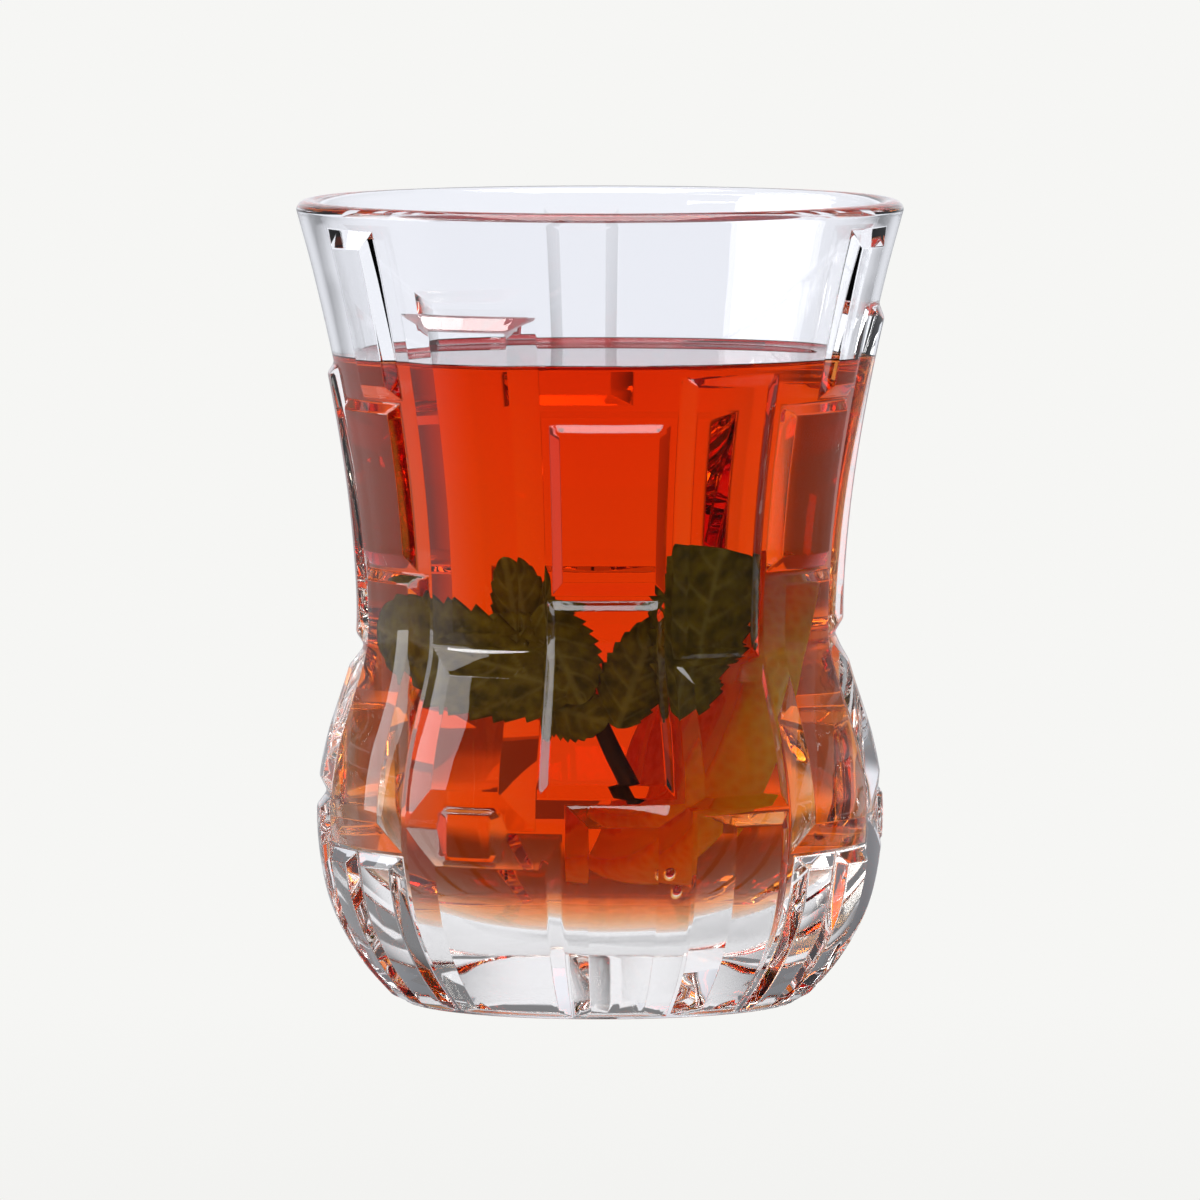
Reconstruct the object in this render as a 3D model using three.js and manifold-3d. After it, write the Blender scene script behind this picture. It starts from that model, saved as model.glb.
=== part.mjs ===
// Turkish tea glass: a thick clear pressed glass with a waist, its wall covered in raised,
// bevelled blocks, filled with black tea to a little below the rim.
// Millimetres, +Z up, origin at the middle of the foot. Angles are degrees about +Z, measured
// from the front (-Y) and growing towards +X.

import * as THREE from 'three';
import { mergeVertices } from 'three/addons/utils/BufferGeometryUtils.js';
import Module from 'manifold-3d';

// Driving dimensions of the glass.
const HEIGHT = 85;
const RIM_ROUND = 1.1;
const FLOOR_HEIGHT = 9.5;
const FLOOR_RADIUS = 8;
const INNER_CORNER_TOP = 22;
const RELIEF = 0.9;

// Height and radius of the plain wall between the blocks: foot, belly, waist and flared mouth.
const WALL_STATIONS = [
  [0, 20.6],
  [4.5, 24.5],
  [10, 27.5],
  [16, 28.85],
  [22, 29.05],
  [28, 28.05],
  [35, 25.85],
  [38.5, 25.0],
  [45, 25.0],
  [55, 25.95],
  [66, 27.8],
  [77, 30.25],
  [HEIGHT - RIM_ROUND, 32.1],
];

// Height and radius of the smooth inner wall above its rounded floor. It widens all the way up,
// so that the pressing tool can be drawn out, which leaves the belly thick.
const INNER_STATIONS = [
  [INNER_CORNER_TOP, 21.9],
  [30, 22.15],
  [38.5, 22.35],
  [45, 22.6],
  [55, 23.5],
  [66, 25.35],
  [77, 27.8],
  [HEIGHT - RIM_ROUND, 29.65],
];

// Driving dimensions of the tea.
const TEA_LEVEL = 68.5;
const TEA_GAP = 0.3;

// One third of the block pattern, which goes round the wall three times.
// left, right: edges in degrees. bottom, top: edges in millimetres.
// bevels: [left, right] in degrees, then [bottom, top] in millimetres.
const PATTERN_REPEATS = 3;
const FOOT_LIP = 0.3;
const PATTERN = {
  longPanel: { left: -44.6, right: -13.2, bottom: 39.3, top: 74, bevels: [7.9, 6, 1.4, 1.5] },
  shield: { left: -44.4, right: -13.4, bottom: 20.5, top: 39, bevels: [7.9, 7.6, 4, 2.8] },
  stud: { left: -35.8, right: -19.3, bottom: 16.4, top: 23.2, bevels: [3.5, 3.3, 1, 1] },
  wideFlute: { left: -44, right: -8, bottom: FOOT_LIP, top: 20.2, bevels: [8.7, 3, 0.5, 3.7] },
  middlePanel: { left: -11.5, right: 15.9, bottom: 44.8, top: 62.9, bevels: [3, 3.2, 1.4, 1] },
  lowerPanel: { left: -12.9, right: 15.8, bottom: 23.9, top: 44.3, bevels: [2.4, 2.5, 1.5, 1] },
  middleFlute: { left: -7.2, right: 19.4, bottom: FOOT_LIP, top: 23.3, bevels: [4.8, 7.6, 0.5, 2.3] },
  highPanel: { left: 17.5, right: 41.7, bottom: 38, top: 67.7, bevels: [3.3, 4, 1.2, 1] },
  shortPanel: { left: 18, right: 42.6, bottom: 22.6, top: 37.4, bevels: [3.7, 3, 1.4, 1.8] },
  sideFlute: { left: 20.4, right: 42.8, bottom: FOOT_LIP, top: 22.1, bevels: [8, 3.3, 0.5, 1.3] },
  rimTab: { left: 56, right: 71.5, bottom: 64.8, top: 82.6, bevels: [3, 3.2, 1.4, 2] },
  upperPanel: { left: 43.5, right: 70.5, bottom: 46.8, top: 64.4, bevels: [3.7, 3, 1.6, 1.1] },
  bellyPanel: { left: 43.4, right: 74.4, bottom: 17.5, top: 46.4, bevels: [5.4, 5.7, 3, 1] },
  leftSlimFlute: { left: 44.5, right: 58.4, bottom: FOOT_LIP, top: 17.1, bevels: [3, 3, 0.5, 1.4] },
  rightSlimFlute: { left: 58.9, right: 74.8, bottom: FOOT_LIP, top: 17.1, bevels: [3, 3, 0.5, 1.4] },
};

// How finely the curved surfaces are divided.
const ROUND_SEGMENTS = 48;
const WALL_STEPS = 14;
const ARC_STEPS = 6;
const CORNER_STEPS = 10;
const FACE_COLUMN = 12;
const FACE_ROW = 7;

// A block's outline lies this far under the plain wall, and its root this far inside it.
const OUTLINE_SINK = 0.08;
const ROOT_DEPTH = 0.9;

// Smooth curve of radius against height through the stations, with slopes taken from the neighbours.
function radiusThrough(stations, height) {
  const last = stations.length - 1;
  let lower = 0;
  while (lower < last - 1 && height > stations[lower + 1][0]) lower += 1;
  const slopeAt = (i) => {
    const [before, after] = [stations[Math.max(i - 1, 0)], stations[Math.min(i + 1, last)]];
    return (after[1] - before[1]) / (after[0] - before[0]);
  };
  const [z0, r0] = stations[lower];
  const [z1, r1] = stations[lower + 1];
  const span = z1 - z0;
  const t = (height - z0) / span;
  const rise = r0 + (r1 - r0) * t * t * (3 - 2 * t);
  const bend = slopeAt(lower) * t * (1 - t) * (1 - t) - slopeAt(lower + 1) * t * t * (1 - t);
  return rise + span * bend;
}

const wallRadius = (height) => radiusThrough(WALL_STATIONS, height);
const innerRadius = (height) => radiusThrough(INNER_STATIONS, height);

// Points from the middle of the cavity floor out round its corner and up the inner wall.
// A clearance shrinks them all round.
function cavityProfile(topHeight, clearance) {
  const floor = FLOOR_HEIGHT + clearance;
  const points = [new THREE.Vector2(0, floor)];
  const cornerWidth = innerRadius(INNER_CORNER_TOP) - FLOOR_RADIUS;
  const cornerHeight = INNER_CORNER_TOP - FLOOR_HEIGHT;
  for (let i = 0; i <= CORNER_STEPS; i += 1) {
    const turn = (i / CORNER_STEPS) * (Math.PI / 2);
    const radius = FLOOR_RADIUS + Math.sin(turn) * cornerWidth;
    const height = INNER_CORNER_TOP - Math.cos(turn) * cornerHeight;
    const inset = clearance * Math.sin(turn);
    points.push(new THREE.Vector2(radius - inset, height + clearance * Math.cos(turn)));
  }
  for (let i = 1; i <= WALL_STEPS; i += 1) {
    const height = THREE.MathUtils.lerp(INNER_CORNER_TOP, topHeight, i / WALL_STEPS);
    points.push(new THREE.Vector2(innerRadius(height) - clearance, height));
  }
  return points;
}

// The plain glass without its blocks: foot, outer wall, rounded rim, inner wall and floor.
function plainGlassProfile() {
  const rimCentre = HEIGHT - RIM_ROUND;
  const points = [new THREE.Vector2(0, 0)];
  for (let i = 0; i <= WALL_STEPS; i += 1) {
    const height = (i / WALL_STEPS) * rimCentre;
    points.push(new THREE.Vector2(wallRadius(height), height));
  }
  const outer = wallRadius(rimCentre);
  const halfWall = (outer - innerRadius(rimCentre)) / 2;
  for (let i = 1; i < ARC_STEPS; i += 1) {
    const turn = (i / ARC_STEPS) * Math.PI;
    const radius = outer - halfWall + halfWall * Math.cos(turn);
    points.push(new THREE.Vector2(radius, rimCentre + RIM_ROUND * Math.sin(turn)));
  }
  return points.concat(cavityProfile(rimCentre, 0).reverse());
}

// A profile of radius and height turned round the upright axis.
function turned(profile) {
  return new THREE.LatheGeometry(profile, ROUND_SEGMENTS).rotateX(Math.PI / 2);
}

// Stops along one side of a block: the edge, the inner end of its bevel, even steps and back again.
function stops(from, to, bevelFrom, bevelTo, step) {
  const faceFrom = from + bevelFrom;
  const faceTo = to - bevelTo;
  const count = Math.max(1, Math.round((faceTo - faceFrom) / step));
  const along = [from];
  for (let i = 0; i <= count; i += 1) along.push(THREE.MathUtils.lerp(faceFrom, faceTo, i / count));
  along.push(to);
  return along;
}

// One raised block: a box bent on to the wall, its outer face drawn in by the bevels.
function blockGeometry(block, turn) {
  const [bevelLeft, bevelRight, bevelBottom, bevelTop] = block.bevels;
  const angles = stops(block.left, block.right, bevelLeft, bevelRight, FACE_COLUMN);
  const heights = stops(block.bottom, block.top, bevelBottom, bevelTop, FACE_ROW);
  const columns = angles.length - 1;
  const rows = heights.length - 1;
  const geometry = new THREE.BoxGeometry(columns, rows, 1, columns, rows, 1);
  const place = geometry.attributes.position;
  for (let i = 0; i < place.count; i += 1) {
    const column = Math.round(place.getX(i) + columns / 2);
    const row = Math.round(place.getY(i) + rows / 2);
    const onOutline = column === 0 || column === columns || row === 0 || row === rows;
    const frontLift = onOutline ? -OUTLINE_SINK : RELIEF;
    const lift = place.getZ(i) > 0 ? frontLift : -ROOT_DEPTH;
    const radius = wallRadius(heights[row]) + lift;
    const angle = THREE.MathUtils.degToRad(angles[column] + turn);
    place.setXYZ(i, radius * Math.sin(angle), -radius * Math.cos(angle), heights[row]);
  }
  splitMitres(geometry, columns * rows);
  return geometry;
}

// The first and last squares of a block's outer face are split along their mitre line, as the
// squares at the other two corners already are.
function splitMitres(geometry, squares) {
  const index = geometry.index.array;
  const outerFace = geometry.groups[4].start;
  for (const square of [0, squares - 1]) {
    const at = outerFace + square * 6;
    const [a, b, d, , c] = index.slice(at, at + 6);
    index.set([a, b, c, a, c, d], at);
  }
}

const wasm = await Module();
wasm.setup();

// A closed geometry as a solid, with shared corners merged and collapsed triangles dropped.
function solidFrom(geometry) {
  const bare = geometry.clone();
  bare.deleteAttribute('normal');
  bare.deleteAttribute('uv');
  const merged = mergeVertices(bare, 1e-4);
  const corners = merged.index.array;
  const kept = [];
  for (let i = 0; i < corners.length; i += 3) {
    const [a, b, c] = corners.slice(i, i + 3);
    if (a !== b && b !== c && c !== a) kept.push(a, b, c);
  }
  return new wasm.Manifold(new wasm.Mesh({
    numProp: 3,
    vertProperties: new Float32Array(merged.attributes.position.array),
    triVerts: new Uint32Array(kept),
  }));
}

function namedMesh(name, solid, material) {
  const { numProp, vertProperties, triVerts } = solid.getMesh();
  const geometry = new THREE.BufferGeometry();
  geometry.setAttribute('position', new THREE.BufferAttribute(vertProperties, numProp));
  geometry.setIndex(new THREE.BufferAttribute(triVerts, 1));
  geometry.computeVertexNormals();
  const mesh = new THREE.Mesh(geometry, material);
  mesh.name = name;
  return mesh;
}

const clearGlass = new THREE.MeshStandardMaterial({
  color: 0xe6e9ec,
  roughness: 0.03,
  metalness: 0,
  transparent: true,
  opacity: 0.35,
});
const blackTea = new THREE.MeshStandardMaterial({
  color: 0xc8401a,
  roughness: 0.05,
  metalness: 0,
});

function makeGlass() {
  let solid = solidFrom(turned(plainGlassProfile()));
  for (let repeat = 0; repeat < PATTERN_REPEATS; repeat += 1) {
    const turn = (repeat * 360) / PATTERN_REPEATS;
    for (const block of Object.values(PATTERN)) {
      solid = solid.add(solidFrom(blockGeometry(block, turn)));
    }
  }
  return namedMesh('glass', solid, clearGlass);
}

function makeTea() {
  const profile = cavityProfile(TEA_LEVEL, TEA_GAP);
  profile.push(new THREE.Vector2(0, TEA_LEVEL));
  return namedMesh('tea', solidFrom(turned(profile)), blackTea);
}

const teaGlass = new THREE.Group();
teaGlass.add(makeGlass(), makeTea());

export default teaGlass;
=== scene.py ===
import math

import bpy
import numpy as np
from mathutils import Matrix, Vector
from mathutils.geometry import delaunay_2d_cdt
from mathutils.kdtree import KDTree


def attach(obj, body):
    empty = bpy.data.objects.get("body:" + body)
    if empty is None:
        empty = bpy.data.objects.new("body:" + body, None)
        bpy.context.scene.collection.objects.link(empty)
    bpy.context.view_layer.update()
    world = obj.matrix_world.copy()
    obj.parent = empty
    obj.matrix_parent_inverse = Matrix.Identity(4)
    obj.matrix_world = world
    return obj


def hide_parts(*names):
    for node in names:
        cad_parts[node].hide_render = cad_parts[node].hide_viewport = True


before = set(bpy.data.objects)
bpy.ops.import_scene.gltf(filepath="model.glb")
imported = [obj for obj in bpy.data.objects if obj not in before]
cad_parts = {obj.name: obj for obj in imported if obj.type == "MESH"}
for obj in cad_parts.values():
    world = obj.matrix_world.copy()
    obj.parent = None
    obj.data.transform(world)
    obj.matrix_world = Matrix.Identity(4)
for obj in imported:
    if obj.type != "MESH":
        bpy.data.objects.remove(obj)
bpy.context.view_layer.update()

# The glass
# Clear soda-lime glass, pressed in a mould whose pattern goes round three times, then
# fire-polished, which rounds every edge. One thick piece that stands on its flat foot.
MM = 0.001
HEIGHT = 85.0
RIM_ROUND = 1.1
FLOOR_HEIGHT = 9.5
FLOOR_RADIUS = 8.0
INNER_CORNER_TOP = 22.0
FOOT_LIP = 0.3
RELIEF = 0.9
EDGE_ROUND = 0.45
TEA_LEVEL = 68.5
MENISCUS_RISE = 0.6
CONTACT_LINE = TEA_LEVEL + MENISCUS_RISE

# Height and radius of the plain wall between the blocks: foot, belly, waist and flared mouth.
RIM_CENTRE = HEIGHT - RIM_ROUND
WALL_STATIONS = np.array([
    (0, 20.6), (4.5, 24.5), (10, 27.5), (16, 28.85), (22, 29.05), (28, 28.05), (35, 25.85),
    (38.5, 25.0), (45, 25.0), (55, 25.95), (66, 27.8), (77, 30.25), (RIM_CENTRE, 32.1),
])

# Height and radius of the smooth inner wall above its rounded floor. It widens all the way up, so
# that the pressing tool can be drawn out, which leaves the belly thick.
INNER_STATIONS = np.array([
    (INNER_CORNER_TOP, 21.9), (30, 22.15), (38.5, 22.35), (45, 22.6), (55, 23.5), (66, 25.35),
    (77, 27.8), (RIM_CENTRE, 29.65),
])

# One third of the block pattern. Edges: left and right in degrees from the front, bottom and top
# in millimetres. Bevels: left and right in degrees, bottom and top in millimetres.
PATTERN_REPEATS = 3
PATTERN_ANGLE = 360 / PATTERN_REPEATS
PATTERN_START = -44.85
PATTERN = {
    "long_panel": dict(left=-44.6, right=-13.2, bottom=39.3, top=74, bevels=(7.9, 6, 1.4, 1.5)),
    "shield": dict(left=-44.4, right=-13.4, bottom=20.5, top=39, bevels=(7.9, 7.6, 4, 2.8)),
    "stud": dict(left=-35.8, right=-19.3, bottom=16.4, top=23.2, bevels=(3.5, 3.3, 1, 1)),
    "wide_flute": dict(left=-44, right=-8, bottom=FOOT_LIP, top=20.2, bevels=(8.7, 3, 0.5, 3.7)),
    "middle_panel": dict(left=-11.5, right=15.9, bottom=44.8, top=62.9, bevels=(3, 3.2, 1.4, 1)),
    "lower_panel": dict(left=-12.9, right=15.8, bottom=23.9, top=44.3, bevels=(2.4, 2.5, 1.5, 1)),
    "middle_flute": dict(left=-7.2, right=19.4, bottom=FOOT_LIP, top=23.3, bevels=(4.8, 7.6, 0.5, 2.3)),
    "high_panel": dict(left=17.5, right=41.7, bottom=38, top=67.7, bevels=(3.3, 4, 1.2, 1)),
    "short_panel": dict(left=18, right=42.6, bottom=22.6, top=37.4, bevels=(3.7, 3, 1.4, 1.8)),
    "side_flute": dict(left=20.4, right=42.8, bottom=FOOT_LIP, top=22.1, bevels=(8, 3.3, 0.5, 1.3)),
    "rim_tab": dict(left=56, right=71.5, bottom=64.8, top=82.6, bevels=(3, 3.2, 1.4, 2)),
    "upper_panel": dict(left=43.5, right=70.5, bottom=46.8, top=64.4, bevels=(3.7, 3, 1.6, 1.1)),
    "belly_panel": dict(left=43.4, right=74.4, bottom=17.5, top=46.4, bevels=(5.4, 5.7, 3, 1)),
    "left_slim_flute": dict(left=44.5, right=58.4, bottom=FOOT_LIP, top=17.1, bevels=(3, 3, 0.5, 1.4)),
    "right_slim_flute": dict(left=58.9, right=74.8, bottom=FOOT_LIP, top=17.1, bevels=(3, 3, 0.5, 1.4)),
}


def radius_through(stations, height):
    """A smooth curve of radius against height, with slopes taken from the neighbouring stations."""
    z, r = stations.T
    before = np.maximum(np.arange(len(z)) - 1, 0)
    after = np.minimum(np.arange(len(z)) + 1, len(z) - 1)
    slope = (r[after] - r[before]) / (z[after] - z[before])
    lower = np.clip(np.searchsorted(z, height) - 1, 0, len(z) - 2)
    span = z[lower + 1] - z[lower]
    t = (height - z[lower]) / span
    rise = r[lower] + (r[lower + 1] - r[lower]) * t * t * (3 - 2 * t)
    bend = slope[lower] * t * (1 - t) ** 2 - slope[lower + 1] * t * t * (1 - t)
    return rise + span * bend


def wall_radius(height):
    return radius_through(WALL_STATIONS, height)


def inner_radius(height):
    """Radius of the cavity, from the rounded corner of its floor up to the rim."""
    upper = radius_through(INNER_STATIONS, np.maximum(height, INNER_CORNER_TOP))
    drop = np.clip((INNER_CORNER_TOP - height) / (INNER_CORNER_TOP - FLOOR_HEIGHT), 0, 1)
    return upper - (INNER_STATIONS[0, 1] - FLOOR_RADIUS) * (1 - np.sqrt(1 - drop ** 2))


def bevel_widths(block):
    """A block's four bevels in millimetres, left, right, bottom and top."""
    degree = math.radians(1) * float(wall_radius((block["bottom"] + block["top"]) / 2))
    left, right, bottom, top = block["bevels"]
    return left * degree, right * degree, bottom, top


def soft_min(a, b, blend):
    overlap = np.maximum(blend - np.abs(a - b), 0) / blend
    return np.minimum(a, b) - overlap ** 2 * blend / 4


def relief(angle, height):
    """How far the blocks stand out of the plain wall, their bevels meeting in rounded edges."""
    angle = (angle - PATTERN_START) % PATTERN_ANGLE + PATTERN_START
    lift = np.zeros_like(height)
    for block in PATTERN.values():
        inward = (angle - block["left"], block["right"] - angle,
                  height - block["bottom"], block["top"] - height)
        raised = np.full_like(height, RELIEF)
        for distance, bevel, width in zip(inward, block["bevels"], bevel_widths(block)):
            blend = EDGE_ROUND * (RELIEF / width) ** 2 / 2
            raised = soft_min(raised, RELIEF * distance / bevel, min(blend, RELIEF / 2))
        lift = np.maximum(lift, raised)
    return lift


def wall_point(angle, height):
    radius = wall_radius(height) + relief(angle, height)
    turn = np.radians(angle)
    return np.stack([radius * np.sin(turn), -radius * np.cos(turn), height], axis=-1)


def wall_normal(angle, height):
    """Outward normals of the pressed wall, from its slope each way over a tiny step."""
    step = 0.02
    along = wall_point(angle + step, height) - wall_point(angle - step, height)
    up = wall_point(angle, height + step) - wall_point(angle, height - step)
    normal = np.cross(along, up)
    return normal / np.linalg.norm(normal, axis=-1, keepdims=True)


# The wall is meshed unrolled, in millimetres, with a line of points either side of every crease.
FLAT_DEGREE = 0.47
LINE_STEP = 0.9
FIELD_STEP = 1.1
WALL_TOP = 83.2
SPOKES = 240
flat_points = []
flat_edges = []


def flat_line(start, end):
    count = max(1, round(math.dist(start, end) / LINE_STEP))
    first = len(flat_points)
    for i in range(count + 1):
        t = i / count
        flat_points.append((start[0] + (end[0] - start[0]) * t, start[1] + (end[1] - start[1]) * t))
    flat_edges.extend((first + i, first + i + 1) for i in range(count))


def crease_stops(start, end, bevels, widths):
    """Eight stops across a block: one either side of each edge and of each bevel's inner end."""
    near, far = [min(EDGE_ROUND * RELIEF / w / 2 / w, 0.25) * b for b, w in zip(bevels, widths)]
    creases = ((start, near), (start + bevels[0], near), (end - bevels[1], far), (end, far))
    return [place + side * half for place, half in creases for side in (-1, 1)]


def flat_block(block):
    """Four nested outlines of a block, and its mitre lines from the second to the third."""
    widths = bevel_widths(block)
    angles = crease_stops(block["left"], block["right"], block["bevels"][:2], widths[:2])
    xs = [angle * FLAT_DEGREE for angle in angles]
    zs = crease_stops(block["bottom"], block["top"], block["bevels"][2:], widths[2:])
    for ring in range(4):
        left, right, bottom, top = xs[ring], xs[7 - ring], zs[ring], zs[7 - ring]
        corners = [(left, bottom), (right, bottom), (right, top), (left, top)]
        for i in range(4):
            flat_line(corners[i], corners[(i + 1) % 4])
    beside = 0.12
    for outer_x, inner_x, into_x in ((1, 2, beside), (6, 5, -beside)):
        for outer_z, inner_z, into_z in ((1, 2, beside), (6, 5, -beside)):
            outer = (xs[outer_x], zs[outer_z])
            inner = (xs[inner_x], zs[inner_z])
            flat_line(outer, inner)
            flat_line((outer[0] + into_x, outer[1]), (inner[0] + into_x, inner[1]))
            flat_line((outer[0], outer[1] + into_z), (inner[0], inner[1] + into_z))


def flat_stud():
    """The six-sided foot of the stud, where its bevels meet those of the shield and the flute."""
    stud, shield, flute = PATTERN["stud"], PATTERN["shield"], PATTERN["wide_flute"]
    left, right, bottom, top = stud["bevels"]
    valley = (shield["bottom"] + flute["top"]) / 2
    high = (top * shield["bottom"] + shield["bevels"][2] * stud["top"]) / (top + shield["bevels"][2])
    low = (bottom * flute["top"] + flute["bevels"][3] * stud["bottom"]) / (bottom + flute["bevels"][3])
    rise_high = (stud["top"] - high) / top
    rise_low = (low - stud["bottom"]) / bottom
    corners = [
        (stud["left"], valley), (stud["left"] + left * rise_low, low),
        (stud["right"] - right * rise_low, low), (stud["right"], valley),
        (stud["right"] - right * rise_high, high), (stud["left"] + left * rise_high, high),
    ]
    flat = [(angle * FLAT_DEGREE, height) for angle, height in corners]
    for i in range(6):
        flat_line(flat[i], flat[(i + 1) % 6])


for block in PATTERN.values():
    flat_block(block)
flat_stud()

seam_left = PATTERN_START * FLAT_DEGREE
seam_right = (PATTERN_START + PATTERN_ANGLE) * FLAT_DEGREE
foot_edge = FOOT_LIP / 2
near_lines = KDTree(len(flat_points))
for i, (x, z) in enumerate(flat_points):
    near_lines.insert((x, z, 0), i)
near_lines.balance()

columns = round(SPOKES / PATTERN_REPEATS)
field_rows = round((WALL_TOP - foot_edge) / FIELD_STEP)
for row, z in enumerate(np.linspace(foot_edge, WALL_TOP, field_rows + 1)):
    for column, x in enumerate(np.linspace(seam_left, seam_right, columns + 1)):
        on_border = row in (0, field_rows) or column in (0, columns)
        if on_border or near_lines.find((x, z, 0))[2] > FIELD_STEP / 2:
            flat_points.append((x, z))

flat, _, wall_faces, _, _, _ = delaunay_2d_cdt([Vector(p) for p in flat_points], flat_edges, [], 0, 1e-5)
flat = np.array([tuple(p) for p in flat])
wall_faces = np.array([tuple(f) for f in wall_faces])


def turned(profile, first_angle, spokes):
    """Points, normals and triangles of a profile of (radius, height) turned round the upright axis."""
    profile = np.array(profile, dtype=float)
    along = np.gradient(profile, axis=0)
    slope = np.stack([along[:, 1], -along[:, 0]], axis=1)
    slope /= np.linalg.norm(slope, axis=1, keepdims=True)
    turn = np.radians(first_angle + np.arange(spokes) * 360 / spokes)
    radial = np.stack([np.sin(turn), -np.cos(turn)], axis=1)
    rows = len(profile)
    points = np.empty((rows, spokes, 3))
    normals = np.empty((rows, spokes, 3))
    for target, values in ((points, profile), (normals, slope)):
        target[..., :2] = values[:, None, :1] * radial[None]
        target[..., 2] = values[:, 1:]
    row, spoke = np.meshgrid(np.arange(rows - 1), np.arange(spokes), indexing="ij")
    a = (row * spokes + spoke).ravel()
    b = (row * spokes + (spoke + 1) % spokes).ravel()
    c, d = b + spokes, a + spokes
    triangles = np.concatenate([np.stack([a, b, c], axis=1), np.stack([a, c, d], axis=1)])
    return points.reshape(-1, 3), normals.reshape(-1, 3), triangles


def arc(centre, size, start, end, steps):
    """Points of (radius, height) on an arc, from one angle to another in degrees."""
    turn = np.radians(np.linspace(start, end, steps + 1))
    return [(centre[0] + size[0] * math.cos(t), centre[1] + size[1] * math.sin(t)) for t in turn]


def cavity_profile(top, outward):
    """The inner wall from a height down round the corner to the middle of the floor."""
    heights = np.linspace(top, INNER_CORNER_TOP, 60)
    corner = (float(inner_radius(INNER_CORNER_TOP)) - FLOOR_RADIUS, INNER_CORNER_TOP - FLOOR_HEIGHT)
    wall = [(float(inner_radius(h)) + outward, h) for h in heights[:-1]]
    round_corner = arc((FLOOR_RADIUS, INNER_CORNER_TOP),
                       (corner[0] + outward, corner[1] + outward), 0, -90, 40)
    floor = [(r, FLOOR_HEIGHT - outward) for r in np.linspace(FLOOR_RADIUS, 0, 8)[1:]]
    return wall + round_corner + floor


# Points nearer to each other than this, in millimetres, become one.
WELD = 0.001


def joined_mesh(name, pieces, finishes, marks=None):
    """One mesh from lists of points, normals and triangles, welded where their points coincide."""
    points = np.concatenate([p for p, _, _ in pieces])
    starts = np.cumsum([0] + [len(p) for p, _, _ in pieces[:-1]])
    triangles = np.concatenate([t + s for (_, _, t), s in zip(pieces, starts)])
    finish = np.repeat(finishes, [len(t) for _, _, t in pieces])
    near = KDTree(len(points))
    for i, point in enumerate(points):
        near.insert(point, i)
    near.balance()
    first = [min(index for _, index, _ in near.find_range(point, WELD)) for point in points]
    kept, place = np.unique(first, return_inverse=True)
    triangles = place[triangles]
    a, b, c = triangles.T
    whole = (a != b) & (b != c) & (c != a)
    triangles = triangles[whole]
    mesh = bpy.data.meshes.new(name)
    mesh.from_pydata((points[kept] * MM).tolist(), [], triangles.tolist())
    mesh.polygons.foreach_set("material_index", finish[whole])
    mesh.shade_smooth()
    if pieces[0][1] is not None:
        normals = np.concatenate([n for _, n, _ in pieces])
        mesh.normals_split_custom_set_from_vertices(normals[kept].tolist())
    for label, values in (marks or {}).items():
        layer = mesh.attributes.new(label, "FLOAT", "POINT")
        layer.data.foreach_set("value", np.concatenate(values)[kept].astype(np.float32))
    piece = bpy.data.objects.new(name, mesh)
    bpy.context.scene.collection.objects.link(piece)
    return piece


glass_pieces = []
for repeat in range(PATTERN_REPEATS):
    angle = flat[:, 0] / FLAT_DEGREE
    height = flat[:, 1]
    turned_angle = angle + repeat * PATTERN_ANGLE
    glass_pieces.append((wall_point(turned_angle, height), wall_normal(turned_angle, height), wall_faces))

half_wall = float(wall_radius(RIM_CENTRE) - inner_radius(RIM_CENTRE)) / 2
rim_middle = (float(wall_radius(RIM_CENTRE)) - half_wall, RIM_CENTRE)
lip = [(float(wall_radius(h)), h) for h in np.linspace(WALL_TOP, RIM_CENTRE, 4)[:-1]]
rim = arc(rim_middle, (half_wall, RIM_ROUND), 0, 180, 20)
dry_wall = [(float(inner_radius(h)), h) for h in np.linspace(RIM_CENTRE, CONTACT_LINE, 20)[1:]]
glass_pieces.append(turned(lip + rim + dry_wall, PATTERN_START, SPOKES))
glass_pieces.append(turned(cavity_profile(CONTACT_LINE, 0), PATTERN_START, SPOKES))

FOOT_ROUND = 0.4
foot_middle = (float(wall_radius(foot_edge)) - FOOT_ROUND, foot_edge)
foot_round = arc(foot_middle, (FOOT_ROUND, foot_edge), 0, -90, 4)
foot_radius = foot_round[-1][0]
underside = [(r, 0.0) for r in np.linspace(foot_radius, 0, 10)[1:]]
glass_pieces.append(turned((foot_round + underside)[::-1], PATTERN_START, SPOKES))

DRY, WETTED = 0, 1
glass = joined_mesh("pressed_glass", glass_pieces, [DRY, DRY, DRY, DRY, WETTED, DRY])


def linear(hex_colour):
    """An sRGB hex colour as the linear colour that shaders take."""
    channels = [int(hex_colour[i:i + 2], 16) / 255 for i in (1, 3, 5)]
    straight = [c / 12.92 if c <= 0.04045 else ((c + 0.055) / 1.055) ** 2.4 for c in channels]
    return (*straight, 1.0)


def new_material(name):
    material = bpy.data.materials.new(name)
    material.use_nodes = True
    material.node_tree.nodes.clear()
    return material


def add_node(tree, kind, settings=None, inputs=None):
    """A node with its settings, and its inputs set to values or linked to other nodes' outputs."""
    node = tree.nodes.new(kind)
    for key, value in (settings or {}).items():
        setattr(node, key, value)
    for key, value in (inputs or {}).items():
        if isinstance(value, bpy.types.NodeSocket):
            tree.links.new(value, node.inputs[key])
        else:
            node.inputs[key].default_value = value
    return node


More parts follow.
